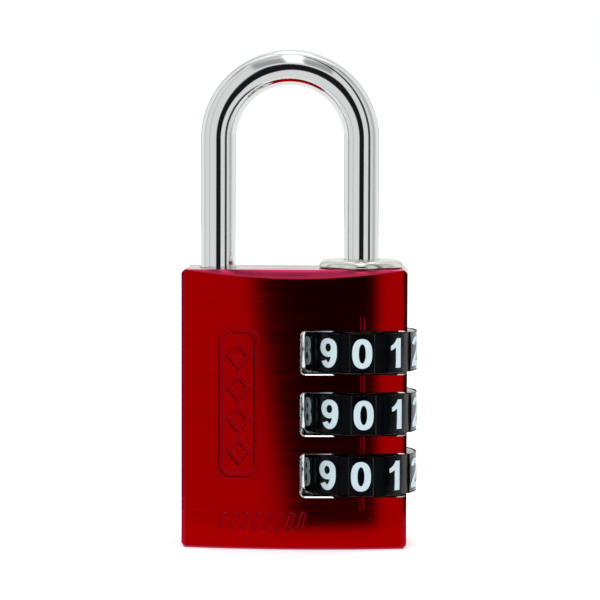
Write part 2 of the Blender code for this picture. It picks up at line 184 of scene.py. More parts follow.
def ellipse(radius_x, radius_y, start, end, steps, centre=(0.0, 0.0)):
    """Points on an ellipse between two angles in degrees."""
    points = []
    for index in range(steps + 1):
        angle = math.radians(start + (end - start) * index / steps)
        points.append((centre[0] + radius_x * math.cos(angle), centre[1] + radius_y * math.sin(angle)))
    return points


def loft(name, rings, closed=False):
    """A skin over rings that all have the same number of points, capped at both ends unless it is closed."""
    mesh = bpy.data.meshes.new(name)
    count = len(rings[0])
    vertices = [tuple(point) for ring in rings for point in ring]
    faces = []
    last = len(rings) if closed else len(rings) - 1
    for row in range(last):
        below = row * count
        above = ((row + 1) % len(rings)) * count
        for column in range(count):
            step = (column + 1) % count
            faces.append((below + column, below + step, above + step, above + column))
    if not closed:
        faces.append(tuple(reversed(range(count))))
        faces.append(tuple((len(rings) - 1) * count + column for column in range(count)))
    mesh.from_pydata(vertices, [], faces)
    tidy_normals(mesh)
    return add_mesh(name, mesh)


def tidy_normals(mesh):
    solid = bmesh.new()
    solid.from_mesh(mesh)
    bmesh.ops.remove_doubles(solid, verts=solid.verts, dist=WELD)
    face_outwards(solid)
    solid.to_mesh(mesh)
    solid.free()


def face_outwards(solid):
    """Turns every face of one closed solid outwards."""
    bmesh.ops.recalc_face_normals(solid, faces=solid.faces)
    if solid.calc_volume(signed=True) < 0.0:
        bmesh.ops.reverse_faces(solid, faces=solid.faces)


def evaluated_mesh(item):
    bpy.context.view_layer.update()
    return bpy.data.meshes.new_from_object(item.evaluated_get(bpy.context.evaluated_depsgraph_get()))


def plate(name, outlines, thickness):
    """A flat outline with any holes as a solid, its middle plane at z = 0."""
    curve = bpy.data.curves.new(name, "CURVE")
    curve.dimensions = "2D"
    curve.fill_mode = "BOTH"
    curve.extrude = thickness / 2.0
    for outline in outlines:
        spline = curve.splines.new("POLY")
        spline.points.add(len(outline) - 1)
        for point, (x, y) in zip(spline.points, outline):
            point.co = (x, y, 0.0, 1.0)
        spline.use_cyclic_u = True
    holder = add_mesh(name, curve)
    mesh = evaluated_mesh(holder)
    bpy.data.objects.remove(holder, do_unlink=True)
    bpy.data.curves.remove(curve)
    tidy_normals(mesh)
    return add_mesh(name, mesh)


def cylinder(name, radius, low, high, axis, centre, steps):
    """A cylinder along an axis from low to high, centred on the other two coordinates in X, Y, Z order."""
    def place(a, b, along):
        if axis == "X":
            return (along, centre[0] + a, centre[1] + b)
        if axis == "Y":
            return (centre[0] + a, along, centre[1] + b)
        return (centre[0] + a, centre[1] + b, along)

    return loft(name, [[place(a, b, along) for a, b in circle(radius, steps)] for along in (low, high)])


def turned(name, profile, centre, steps):
    """A closed profile of (radius, height) points turned about the vertical line through centre."""
    rings = [[(x, y, height) for x, y in circle(radius, steps, centre)] for radius, height in profile]
    return loft(name, rings, closed=True)


def tube(name, path, radius, sides):
    """A round rod with flat ends along a path of points."""
    points = [Vector(point) for point in path]
    last = len(points) - 1
    tangents = []
    for index in range(last + 1):
        tangents.append((points[min(index + 1, last)] - points[max(index - 1, 0)]).normalized())
    side = tangents[0].orthogonal().normalized()
    rings = []
    for point, tangent in zip(points, tangents):
        side = (side - tangent * side.dot(tangent)).normalized()
        other = tangent.cross(side)
        rings.append([point + (side * a + other * b) * radius for a, b in circle(1.0, sides)])
    return loft(name, rings)


def cut(item, cutter, operation="DIFFERENCE", material=None):
    """Apply one boolean and drop the cutter. New faces take the cutter's material."""
    if material is not None:
        paint(cutter, material)
    step = item.modifiers.new("cut", "BOOLEAN")
    step.operation = operation
    step.solver = "EXACT"
    step.material_mode = "TRANSFER"
    step.object = cutter
    mesh = evaluated_mesh(item)
    item.modifiers.clear()
    old = item.data
    item.data = mesh
    bpy.data.meshes.remove(old)
    bpy.data.objects.remove(cutter, do_unlink=True)
    return item


def paint(item, material):
    item.data.materials.clear()
    item.data.materials.append(material)


def join(name, items):
    """Several mesh objects as one, each keeping its shape and materials."""
    combined = bmesh.new()
    for item in items:
        combined.from_mesh(item.data)
    mesh = bpy.data.meshes.new(name)
    combined.to_mesh(mesh)
    combined.free()
    for material in items[0].data.materials:
        mesh.materials.append(material)
    for item in items:
        bpy.data.objects.remove(item, do_unlink=True)
    return add_mesh(name, mesh)


# ---- materials
class Paint:
    """A small helper that wires a Principled material."""

    def __init__(self, name, colour, roughness, metallic, **sockets):
        self.material = bpy.data.materials.new(name)
        self.material.use_nodes = True
        self.tree = self.material.node_tree
        self.shader = self.tree.nodes["Principled BSDF"]
        self.set("Base Color", (*colour, 1.0))
        self.set("Roughness", roughness)
        self.set("Metallic", metallic)
        for socket, value in sockets.items():
            self.set(socket.replace("_", " "), value)
        self.coordinates = self.tree.nodes.new("ShaderNodeTexCoord").outputs["Object"]

    def set(self, socket, value):
        self.shader.inputs[socket].default_value = value

    def link(self, source, target):
        self.tree.links.new(source, target)

    def drive(self, socket, source):
        self.link(source, self.shader.inputs[socket])

    def noise(self, stretch, detail=4.0, rough=0.6):
        """Noise over the object's own metres; stretch is repeats per metre along X, Y and Z."""
        mapping = self.tree.nodes.new("ShaderNodeMapping")
        mapping.inputs["Scale"].default_value = stretch
        noise = self.tree.nodes.new("ShaderNodeTexNoise")
        noise.inputs["Scale"].default_value = 1.0
        noise.inputs["Detail"].default_value = detail
        noise.inputs["Roughness"].default_value = rough
        self.link(self.coordinates, mapping.inputs["Vector"])
        self.link(mapping.outputs["Vector"], noise.inputs["Vector"])
        return noise.outputs["Fac"]

    def ranged(self, source, low, high, source_low=0.3, source_high=0.7):
        node = self.tree.nodes.new("ShaderNodeMapRange")
        node.inputs["From Min"].default_value = source_low
        node.inputs["From Max"].default_value = source_high
        node.inputs["To Min"].default_value = low
        node.inputs["To Max"].default_value = high
        self.link(source, node.inputs["Value"])
        return node.outputs["Result"]

    def facing(self, low, high, source_low, source_high):
        """A value from low to high, the more the surface is seen edge on."""
        weight = self.tree.nodes.new("ShaderNodeLayerWeight")
        weight.inputs["Blend"].default_value = 0.5
        return self.ranged(weight.outputs["Facing"], low, high, source_low, source_high)

    def mixed(self, source, low, high):
        """A colour between two, driven by source from 0 to 1; low may be another node's colour."""
        node = self.tree.nodes.new("ShaderNodeMix")
        node.data_type = "RGBA"
        if isinstance(low, tuple):
            node.inputs["A"].default_value = (*low, 1.0)
        else:
            self.link(low, node.inputs["A"])
        node.inputs["B"].default_value = (*high, 1.0)
        self.link(source, node.inputs["Factor"])
        return node.outputs["Result"]

    def bump(self, source, strength, distance, under=None):
        node = self.tree.nodes.new("ShaderNodeBump")
        node.inputs["Strength"].default_value = strength
        node.inputs["Distance"].default_value = distance
        self.link(source, node.inputs["Height"])
        if under is not None:
            self.link(under, node.inputs["Normal"])
        return node.outputs["Normal"]

    def tone(self, source, low, high):
        self.drive("Base Color", self.mixed(self.ranged(source, 0.0, 1.0), low, high))

    def roughen(self, source, low, high):
        self.drive("Roughness", self.ranged(source, low, high))

    def dent(self, *bump):
        self.drive("Normal", self.bump(*bump))

    def radial_tangent(self):
        node = self.tree.nodes.new("ShaderNodeTangent")
        node.direction_type = "RADIAL"
        node.axis = "Z"
        self.drive("Tangent", node.outputs["Tangent"])


def red_anodised():
    """Finely brushed aluminium under red oxide: deep red face on, pinker and paler seen edge on."""
    kit = Paint("red_anodised_aluminium", (0.40, 0.0, 0.0005), 0.11, 1.0,
                Anisotropic=0.85, Anisotropic_Rotation=0.25)
    grain = kit.noise((90.0, 90.0, 7000.0), detail=5.0, rough=0.7)
    streaks = kit.noise((110.0, 110.0, 2300.0), detail=3.0, rough=0.5)
    tone = kit.mixed(kit.ranged(streaks, 0.0, 1.0), (0.385, 0.0, 0.0003), (0.430, 0.0, 0.0006))
    kit.drive("Base Color", kit.mixed(kit.facing(0.0, 1.0, 0.05, 0.38), tone, (0.42, 0.022, 0.080)))
    kit.roughen(streaks, 0.09, 0.13)
    fine = kit.bump(grain, 0.20, 0.0010 * MM)
    kit.dent(streaks, 0.5, 0.0048 * MM, fine)
    kit.radial_tangent()
    return kit.material


def bare_aluminium():
    """The bright milled walls of the slots and bores."""
    kit = Paint("bare_aluminium", (0.93, 0.935, 0.94), 0.12, 1.0)
    lines = kit.noise((400.0, 400.0, 7000.0), detail=3.0)
    kit.roughen(lines, 0.08, 0.18)
    kit.dent(lines, 0.12, 0.01 * MM)
    return kit.material


def chromed_steel():
    """Polished chrome with the faint waviness of drawn rod under it."""
    kit = Paint("chromed_steel", (0.80, 0.82, 0.815), 0.055, 1.0)
    wave = kit.noise((700.0, 700.0, 260.0), detail=2.0)
    haze = kit.noise((2600.0, 2600.0, 900.0), detail=5.0)
    kit.roughen(haze, 0.035, 0.085)
    ripple = kit.bump(wave, 0.10, 0.02 * MM)
    kit.dent(haze, 0.05, 0.004 * MM, ripple)
    return kit.material


def nickel_plate():
    """Slightly warm nickel over a pressed bush."""
    kit = Paint("nickel_plate", (0.78, 0.775, 0.73), 0.20, 1.0)
    skin = kit.noise((1800.0, 1800.0, 1800.0))
    tone = kit.noise((500.0, 500.0, 500.0), detail=2.0)
    kit.tone(tone, (0.74, 0.735, 0.69), (0.82, 0.815, 0.77))
    kit.roughen(skin, 0.17, 0.27)
    kit.dent(skin, 0.12, 0.01 * MM)
    return kit.material


def black_plastic():
    """Moulded black plastic with a fine satin skin, glossier the more it is seen edge on."""
    kit = Paint("black_plastic", (0.004, 0.0045, 0.006), 0.13, 0.0, IOR=1.21)
    kit.drive("IOR", kit.facing(1.12, 1.95, 0.15, 0.75))
    skin = kit.noise((5200.0, 5200.0, 3000.0), rough=0.7)
    tone = kit.noise((700.0, 700.0, 500.0), detail=3.0)
    kit.tone(tone, (0.0008, 0.0010, 0.0018), (0.0022, 0.0026, 0.0040))
    kit.roughen(skin, 0.10, 0.19)
    kit.dent(skin, 0.22, 0.0016 * MM)
    return kit.material


def white_print():
    """Filled white numerals, a little cool."""
    kit = Paint("white_print", (0.55, 0.70, 0.76), 0.42, 0.0, IOR=1.4)
    skin = kit.noise((2600.0, 2600.0, 2600.0), detail=3.0)
    kit.tone(skin, (0.565, 0.705, 0.755), (0.645, 0.785, 0.835))
    kit.dent(skin, 0.10, 0.01 * MM)
    return kit.material


def inner_metal(name, low, high, roughness, turning):
    """Plain machined metal; turning is the spacing of its tool marks in repeats per metre."""
    kit = Paint(name, high, roughness, 1.0)
    marks = kit.noise((300.0, 300.0, turning), detail=3.0)
    tone = kit.noise((350.0, 350.0, 350.0), detail=3.0)
    kit.tone(tone, low, high)
    kit.roughen(marks, roughness * 0.75, roughness * 1.3)
    kit.dent(marks, 0.15, 0.008 * MM)
    return kit.material


RED = red_anodised()
BARE = bare_aluminium()
CHROME = chromed_steel()
NICKEL = nickel_plate()
BLACK = black_plastic()
WHITE = white_print()
BRASS = inner_metal("brass", (0.62, 0.42, 0.15), (0.74, 0.52, 0.21), 0.28, 6000.0)
STEEL = inner_metal("bright_steel", (0.50, 0.51, 0.53), (0.60, 0.61, 0.62), 0.22, 4000.0)
SPRING = inner_metal("spring_steel", (0.36, 0.37, 0.39), (0.47, 0.48, 0.50), 0.30, 3000.0)


# ---- body
BULGE = HALF_DEPTH - SIDE_HALF_DEPTH
FACE_RADIUS = (HALF_WIDTH ** 2 + BULGE ** 2) / (2.0 * BULGE)


def face_y(x):
    """Distance of the curved faces from the middle plane."""
    return HALF_DEPTH - FACE_RADIUS + math.sqrt(FACE_RADIUS ** 2 - x ** 2)


def meet(first, second):
    """Where two lines cross; each is (unit normal, distance along it)."""
    (a, b), c = first
    (d, e), f = second
    scale = a * e - b * d
    return ((c * e - b * f) / scale, (a * f - c * d) / scale)


def rounded_corner(before, corner, after, radius, steps):
    """Points that round one corner of an outline."""
    corner = Vector(corner)
    to_before = (Vector(before) - corner).normalized()
    to_after = (Vector(after) - corner).normalized()
    half = to_before.angle(to_after) / 2.0
    centre = corner + (to_before + to_after).normalized() * (radius / math.sin(half))
    start = corner + to_before * (radius / math.tan(half)) - centre
    finish = corner + to_after * (radius / math.tan(half)) - centre
    turn = start.angle(finish)
    points = []
    for index in range(steps + 1):
        share = index / steps
        a = math.sin((1.0 - share) * turn) / math.sin(turn)
        b = math.sin(share * turn) / math.sin(turn)
        points.append(tuple(centre + start * a + finish * b))
    return points


def body_section(x, inset=0.0, side_inset=0.0):
    """The body cut across at x as points in (y, z), drawn in at top and bottom and at the faces."""
    slope = (math.sin(CROWN_SLOPE), math.cos(CROWN_SLOPE))
    face = face_y(x) - side_inset
    facet = SIDE_HALF_DEPTH * slope[0] + BODY_TOP * slope[1] - inset
    top = meet(((0.0, 1.0), BODY_TOP - inset), (slope, facet))
    shoulder = meet(((1.0, 0.0), face), (slope, facet))
    if shoulder[1] > BODY_TOP - inset - EDGE_ROUND * 0.7:
        # Where the facet runs out, a short one is kept so that every section has the same corners.
        shoulder = (face, BODY_TOP - inset - EDGE_ROUND * 0.7)
        top = (face - EDGE_ROUND * 0.9, BODY_TOP - inset)
    heel = (face - BASE_CORNER, inset)
    ankle = (face, inset + BASE_CORNER)
    corners = [(heel, EDGE_ROUND), (ankle, EDGE_ROUND), (shoulder, EDGE_ROUND * 0.9), (top, EDGE_ROUND * 0.9)]
    ends = [(0.0, inset)] + [corner for corner, _ in corners] + [(0.0, BODY_TOP - inset)]
    half = []
    for index, (corner, radius) in enumerate(corners, start=1):
        half += rounded_corner(ends[index - 1], corner, ends[index + 1], radius, 4)
    return half + [(-y, z) for y, z in reversed(half)]


def body_blank():
    """A skin over sections from the left side to the right, drawn in at both ends."""
    ease_in = 0.06
    profile = [(0.0, 1.0), (ease_in * 0.3, 1.0 - ease_in * 0.8), (ease_in, 1.0 - ease_in * 1.6),
               (1.0 - ease_in * 1.6, ease_in), (1.0 - ease_in * 0.8, ease_in * 0.3), (1.0, 0.0)]
    edge_x = HALF_WIDTH - SIDE_CORNER
    left, right = [], []
    for inset, back in profile:
        section = body_section(edge_x, inset * END_CHAMFER, inset * SIDE_CORNER)
        left.append([(tuck(y, z, back, -1.0), y, z) for y, z in section])
        right.append([(tuck(y, z, back, 1.0), y, z) for y, z in section])
    rings = left[::-1]
    for index in range(1, FACE_STRIPS):
        x = -edge_x + 2.0 * edge_x * index / FACE_STRIPS
        rings.append([(x, y, z) for y, z in body_section(x)])
    return loft("lock_body_shell", rings + right)


def tuck(y, z, back, side):
    """How far out along X a point of an end section lies: top and bottom are cut in further than the faces."""
    flat = min(1.0, max(0.0, (max(z - BODY_TOP / 2.0, BODY_TOP / 2.0 - z) - BODY_TOP / 2.0 + 2.0 * END_CHAMFER)
                        / END_CHAMFER))
    reach = SIDE_CORNER + (END_CHAMFER - SIDE_CORNER) * flat
    return side * (HALF_WIDTH - reach * back)


def slot_cutter(centre_z):
    """A slot through the body, open at its right side, that flares to a small chamfer at both faces."""
    high = SLOT_HEIGHT / 2.0
    corner = SLOT_CORNER
    reach = 2.0 * HALF_WIDTH
    upper = arc(corner, math.pi / 2, math.pi, 8, (SLOT_END_X + corner, centre_z + high - corner))
    lower = arc(corner, math.pi, 1.5 * math.pi, 8, (SLOT_END_X + corner, centre_z - high + corner))
    steps = 24
    run = [SLOT_END_X + corner + (reach - SLOT_END_X - corner) * (index + 1) / steps for index in range(steps)]
    outline = upper + lower
    outline += [(x, centre_z - high) for x in run] + [(x, centre_z + high) for x in reversed(run)]
    centre = Vector((SLOT_END_X + corner, centre_z))

    def outward(x, z):
        if x >= centre.x:
            return Vector((0.0, 1.0 if z > centre_z else -1.0))
        rounded = Vector((x - centre.x, z - (centre_z + math.copysign(high - corner, z - centre_z))))
        return rounded.normalized()

    rings = []
    clear = 0.2 * MM
    flare = SLOT_CHAMFER + clear
    # Where each ring lies: a side and how far beyond its face, or a y alone, and how far the ring is widened.
    levels = ((-3.0 * HALF_DEPTH, None, flare), (-1.0, clear, flare), (-1.0, -SLOT_CHAMFER, 0.0),
              (1.0, -SLOT_CHAMFER, 0.0), (1.0, clear, flare), (3.0 * HALF_DEPTH, None, flare))
    for side, beyond, offset in levels:
        ring = []
        for x, z in outline:
            away = outward(x, z) * offset
            if beyond is None:
                y = side
            else:
                y = side * (face_y(min(x, HALF_WIDTH)) + beyond)
            ring.append((x + away.x, y, z + away.y))
        rings.append(ring)
    return loft("slot_cutter", rings)


def engraving(path, width, depth, closed=False):
    """A cutter for a flat-bottomed line along a path in (x, z) on the front: eased lips, then steep walls."""
    count = len(path)
    points = [Vector(point) for point in path]
    lip = LIP_SLOPE * LIP_DEPTH
    outside = 1.5              # how far the cutter starts outside the face, in lips
    sharpest = 0.35            # limits how far a sharp corner is drawn out
    # Half widths and how far each lies under the face, from outside the body to the bottom of the line.
    walls = ((width / 2.0 + lip * outside, -LIP_DEPTH * outside), (width / 2.0, 0.0),
             (width / 2.0 - lip, LIP_DEPTH), (width / 2.0 - lip - WALL_SLOPE * (depth - LIP_DEPTH), depth))
    profile = [(-half, under) for half, under in walls] + [(half, under) for half, under in reversed(walls)]
    rings = []
    for index, point in enumerate(points):
        before = points[index - 1] if closed or index else None
        after = points[(index + 1) % count] if closed or index < count - 1 else None
        into = (point - before).normalized() if before is not None else (after - point).normalized()
        out = (after - point).normalized() if after is not None else into
        tangent = (into + out).normalized()
        normal = Vector((-tangent.y, tangent.x))
        stretch = 1.0 / max(sharpest, normal.dot(Vector((-into.y, into.x))))
        ring = []
        for reach, under in profile:
            end = 0.0
            if before is None:
                end = width / 2.0 - abs(reach)
            if after is None:
                end = abs(reach) - width / 2.0
            place = point + normal * (reach * stretch) + tangent * end
            ring.append((place.x, under - face_y(place.x), place.y))
        rings.append(ring)
    return loft("engraving_cutter", rings, closed=closed)


def rounded_frame(centre, size, corner):
    half_x = size[0] / 2.0 - corner
    half_z = size[1] / 2.0 - corner
    points = []
    for quarter, (sign_x, sign_z) in enumerate(((1, 1), (-1, 1), (-1, -1), (1, -1))):
        start = quarter * math.pi / 2
        points += arc(corner, start, start + math.pi / 2, 10,
                      (centre[0] + sign_x * half_x, centre[1] + sign_z * half_z))
    return points


def between(start, end, steps=4):
    return [(start[0] + (end[0] - start[0]) * i / steps, start[1] + (end[1] - start[1]) * i / steps)
            for i in range(steps)]


def panel_marks():
    """A neutral column of hollow diamonds."""
    x, z = PANEL_CENTRE
    marks = []
    for row in range(MARK_COUNT):
        middle_z = z + (row - (MARK_COUNT - 1) / 2.0) * MARK_PITCH
        corners = [(x - MARK_HALF[0], middle_z), (x, middle_z - MARK_HALF[1]),
                   (x + MARK_HALF[0], middle_z), (x, middle_z + MARK_HALF[1])]
        points = []
        for index, corner in enumerate(corners):
            points += between(corner, corners[(index + 1) % 4])
        marks.append(points)
    return marks


def true_faces(body):
    """Gives the curved faces their exact direction, and the upright chamfers a flat one."""
    mesh = body.data
    directions = [(0.0, 0.0, 0.0)] * len(mesh.loops)
    for face in mesh.polygons:
        beside = abs(face.center.x) > HALF_WIDTH - SIDE_CORNER
        if beside and abs(face.normal.z) < CHAMFER_RISE:
            for corner in face.loop_indices:
                directions[corner] = tuple(face.normal)
        elif not beside and abs(face.normal.z) <= FACE_RISE and abs(face.normal.y) >= FACE_TURN:
            for corner in face.loop_indices:
                lean = mesh.vertices[mesh.loops[corner].vertex_index].co.x / FACE_RADIUS
                directions[corner] = (lean, math.copysign(math.sqrt(1.0 - lean * lean), face.normal.y), 0.0)
    mesh.normals_split_custom_set(directions)


def make_body():
    body = body_blank()
    paint(body, RED)
    above = 2.0 * BODY_TOP
    cut(body, cylinder("bore", BORE_RADIUS, BORE_FLOOR, above, "Z", (STACK_X, 0.0), 96), material=BARE)
    cut(body, cylinder("socket", SOCKET_RADIUS, SOCKET_FLOOR, above, "Z", (TOE_X, 0.0), 64), material=BARE)
    for wheel_z in WHEEL_Z:
        cut(body, slot_cutter(wheel_z), material=BARE)
        hole = cylinder("ball_hole", BALL_HOLE_RADIUS, BALL_HOLE_END_X, STACK_X, "X", (0.0, wheel_z), 32)
        cut(body, hole, material=BARE)
    line = between((INDEX_X, INDEX_SPAN[0]), (INDEX_X, INDEX_SPAN[1])) + [(INDEX_X, INDEX_SPAN[1])]
    cut(body, engraving(line, *INDEX_LINE), material=RED)
    panel = rounded_frame(PANEL_CENTRE, PANEL_SIZE, PANEL_CORNER)
    cut(body, engraving(panel, *PANEL_LINE, True), material=RED)
    for points in panel_marks():
        cut(body, engraving(points, *MARK_LINE, True), material=RED)
    spacing = (TICK_SPAN[1] - TICK_SPAN[0]) / (TICK_COUNT - 1)
    for index in range(TICK_COUNT):
        x = TICK_SPAN[0] + spacing * index
        path = [(x - TICK_LEAN / 2.0, TICK_HEIGHT[0]), (x + TICK_LEAN / 2.0, TICK_HEIGHT[1])]
        cut(body, engraving(path, *TICK_LINE), material=RED)
    body.name = "body_shell"
    smooth(body, 28.0)
    true_faces(body)
    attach(body, "lock")
    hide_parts("lock_body")


# ---- numerals
def pen_ribbon(path, closed=False):
    """Outline of a stroke drawn along a path with an upright oval pen."""
    count = len(path)
    left, right = [], []
    for index, (x, y) in enumerate(path):
        before = path[index - 1] if closed or index else path[0]
        after = path[(index + 1) % count] if closed or index < count - 1 else path[-1]
        dx, dy = after[0] - before[0], after[1] - before[1]
        length = math.hypot(dx, dy)
        nx, ny = -dy / length, dx / length
        reach = math.sqrt((PEN_ACROSS * nx) ** 2 + (PEN_UP * ny) ** 2)
        ox, oy = PEN_ACROSS ** 2 * nx / reach, PEN_UP ** 2 * ny / reach
        left.append((x + ox, y + oy))
        right.append((x - ox, y - oy))
    if closed:
        return [left, right]
    return [left + right[::-1]]


def loop(centre, radius_x, radius_y, power=2.0, steps=56):
    points = []
    for index in range(steps):
        angle = 2.0 * math.pi * index / steps
        c, s = math.cos(angle), math.sin(angle)
        points.append((centre[0] + radius_x * math.copysign(abs(c) ** (2.0 / power), c),
                       centre[1] + radius_y * math.copysign(abs(s) ** (2.0 / power), s)))
    return points


def turn_over(shapes):
    return [[[(-x, 1.0 - y) for x, y in outline] for outline in shape] for shape in shapes]


def bar(left, low, right, high):
    return [[(left, low), (right, low), (right, high), (left, high)]]


def numeral_shapes(digit):
    """Each numeral as a few overlapping outlines, in digit heights with the foot at y = 0."""
    low, high = PEN_UP, 1.0 - PEN_UP
    if digit == 0:
        return [pen_ribbon(loop((0.0, 0.5), 0.228, 0.5 - PEN_UP, 2.35), True)]
    if digit == 1:
        return [[[(0.005, 0.0), (0.215, 0.0), (0.215, 1.0), (0.055, 1.0), (0.005, 0.92), (-0.06, 0.845),
                  (-0.13, 0.785), (-0.205, 0.745), (-0.205, 0.60), (-0.13, 0.622), (-0.06, 0.655),
                  (0.005, 0.70)]]]
    if digit == 2:
        sweep = ellipse(0.222, 0.213, 168.0, -28.0, 26, (0.0, high - 0.213))
        tail = [(0.135, 0.50), (0.05, 0.405), (-0.06, 0.30), (-0.15, 0.205), (-0.205, 0.10)]
        return [pen_ribbon(sweep + tail), bar(-0.325, 0.0, 0.325, 0.168),
                [[(-0.325, 0.0), (-0.10, 0.0), (-0.10, 0.15), (-0.325, 0.02)]]]
    if digit == 3:
        upper = ellipse(0.203, 0.197, 165.0, -88.0, 26, (-0.005, high - 0.197))
        lower = ellipse(0.226, 0.224, 88.0, -168.0, 28, (0.0, low + 0.224))
        bridge = bar(-0.075, 0.455, 0.02, 0.60)
        return [pen_ribbon(upper), pen_ribbon(lower), bridge]
    if digit == 4:
        return [bar(0.05, 0.0, 0.255, 1.0), bar(-0.35, 0.215, 0.365, 0.375),
                [[(0.05, 1.0), (0.20, 1.0), (0.10, 0.80), (-0.165, 0.36), (-0.35, 0.36)]]]
    if digit == 5:
        bowl = ellipse(0.226, 0.236, 128.0, -166.0, 30, (0.0, low + 0.236))
        return [bar(-0.215, 0.835, 0.29, 1.0),
                [[(-0.235, 1.0), (-0.055, 1.0), (-0.105, 0.545), (-0.165, 0.50), (-0.315, 0.455)]],
                pen_ribbon(bowl)]
    if digit == 9:
        bowl = loop((0.0, low + 0.228), 0.226, 0.228, 2.1)
        back = ellipse(0.232, 0.5 - PEN_UP, 40.0, 176.0, 30, (0.0, 0.5))
        shapes = [pen_ribbon(bowl, True), pen_ribbon(back + [(-0.233, 0.43), (-0.231, 0.35)])]
        return turn_over(shapes)
    if digit == 7:
        sweep = [(0.245, 0.90), (0.165, 0.79), (0.085, 0.65), (0.02, 0.50), (-0.03, 0.33), (-0.06, 0.16),
                 (-0.07, 0.0)]
        return [bar(-0.32, 0.83, 0.325, 1.0), pen_ribbon(sweep)]
    return [pen_ribbon(loop((0.0, high - 0.193), 0.198, 0.193, 2.05), True),
            pen_ribbon(loop((0.0, low + 0.221), 0.226, 0.221, 2.05), True)]


def numeral(digit):
    """One numeral wrapped on the wheel, centred on the wheel's axis and height."""
    shapes = numeral_shapes(9 if digit == 6 else digit)
    solid = None
    for index, shape in enumerate(shapes):
        outlines = [[(x * DIGIT_HEIGHT, y * DIGIT_HEIGHT) for x, y in outline] for outline in shape]
        part = plate("numeral_part", outlines, PRINT_DEPTH * (1.0 + PRINT_STEP * index))
        solid = part if solid is None else cut(solid, part, "UNION")
    mesh = bmesh.new()
    mesh.from_mesh(solid.data)
    if digit == 6:
        # The 6 is the 9 turned over.
        for vertex in mesh.verts:
            vertex.co.x, vertex.co.y = -vertex.co.x, DIGIT_HEIGHT - vertex.co.y
    strips = 14
    reach = 0.40 * DIGIT_HEIGHT
    for strip in range(1, strips):
        x = -reach + 2.0 * reach * strip / strips
        geometry = mesh.verts[:] + mesh.edges[:] + mesh.faces[:]
        bmesh.ops.bisect_plane(mesh, geom=geometry, dist=WELD,
                               plane_co=(x, 0.0, 0.0), plane_no=(1.0, 0.0, 0.0))
    angle = digit * DIGIT_STEP
    for vertex in mesh.verts:
        out = WHEEL_RADIUS - PRINT_DEPTH * PRINT_MIDDLE + vertex.co.z
        turn = angle + vertex.co.x / WHEEL_RADIUS
        vertex.co = Vector((out * math.sin(turn), -out * math.cos(turn), vertex.co.y - DIGIT_HEIGHT / 2.0))
    face_outwards(mesh)
    mesh.to_mesh(solid.data)
    mesh.free()
    paint(solid, WHITE)
    return solid


# ---- wheels
def ease(value, start, end):
    share = min(1.0, max(0.0, (value - start) / (end - start)))
    return share * share * (3.0 - 2.0 * share)


def pad_angles():
    """Angles from the middle of a pad to the middle of its flute, closer together at the edges."""
    half = [0.0, 2.0, 4.0, 6.0, 8.0, 8.8, 9.2, 10.4, 11.6, 12.0, 12.3, 12.6, 12.9, 13.2, 13.6, 14.4,
            15.6, 16.8]
    local = [-angle for angle in reversed(half[1:])] + half + [18.0]
    return [math.radians(angle) for angle in local]


def wheel_mesh():
    """One closed skin: outside with pads and flutes, both rims, and the splined bore."""
    angles = []
    for digit in range(DIGITS):
        angles += [(digit * DIGIT_STEP + local, abs(local)) for local in pad_angles()]
    radius = WHEEL_RADIUS - PRINT_RELIEF
    half = WHEEL_HEIGHT / 2.0
    belt = half * 0.4
    rim_flat = radius - RIM_CHAMFER - 0.6 * MM

    def outer(local):
        return radius - FLUTE_DEPTH * ease(local, *FLUTE_EDGE)

    def inner(local):
        return SPLINE_TIP + (SPLINE_HOLLOW - SPLINE_TIP) * ease(local, *TOOTH_EDGE)

    def ring(limit, height, shape=outer):
        points = []
        for angle, local in angles:
            out = min(shape(local), limit) if limit is not None else shape(local)
            points.append((out * math.sin(angle), -out * math.cos(angle), height))
        return points

    # Each rim's rings run from the wall inwards, so the skin folds over itself there by the chamfer's size.
    rounding = []
    for degrees in (0.0, 22.5, 45.0, 67.5, 90.0):
        turn = math.radians(degrees)
        rounding.append((RIM_CHAMFER * (1.0 - math.cos(turn)), RIM_CHAMFER * (1.0 - math.sin(turn))))
    levels = [(radius - inset, half - drop) for inset, drop in rounding]
    levels += [(radius, belt), (radius, 0.0), (radius, -belt)]
    levels += [(radius - inset, -half + drop) for inset, drop in reversed(rounding)]
    rings = [ring(rim_flat, half)] + [ring(limit, height) for limit, height in levels]
    rings += [ring(rim_flat, -half), ring(None, -half, inner), ring(None, half, inner)]
    return loft("wheel_skin", rings, closed=True)


def make_wheels():
    skin = wheel_mesh()
    paint(skin, BLACK)
    smooth(skin, 40.0)
    numerals = join("numerals", [numeral(digit) for digit in range(DIGITS)])
    smooth(numerals, 30.0)
    bore_edge = SPLINE_HOLLOW + 0.1 * MM
    for number, (node, wheel_z, play) in enumerate(zip(WHEELS, WHEEL_Z, WHEEL_PLAY), start=1):
        turn = Matrix.Rotation(math.radians(play), 4, "Z")
        place = Matrix.Translation((STACK_X, 0.0, wheel_z))
        wheel = add_mesh(f"wheel_{number}_skin", skin.data.copy())
        # The bore stays true to its clutch sleeve.
        for vertex in wheel.data.vertices:
            if vertex.co.xy.length > bore_edge:
                vertex.co = turn @ vertex.co
        wheel.matrix_world = place
        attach(wheel, f"wheel_{number}")
        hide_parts(node)
        digits = add_mesh(f"wheel_{number}_numerals", numerals.data.copy())
        digits.data.transform(turn)
        digits.matrix_world = place
        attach(digits, f"wheel_{number}")
    bpy.data.objects.remove(skin, do_unlink=True)
    bpy.data.objects.remove(numerals, do_unlink=True)


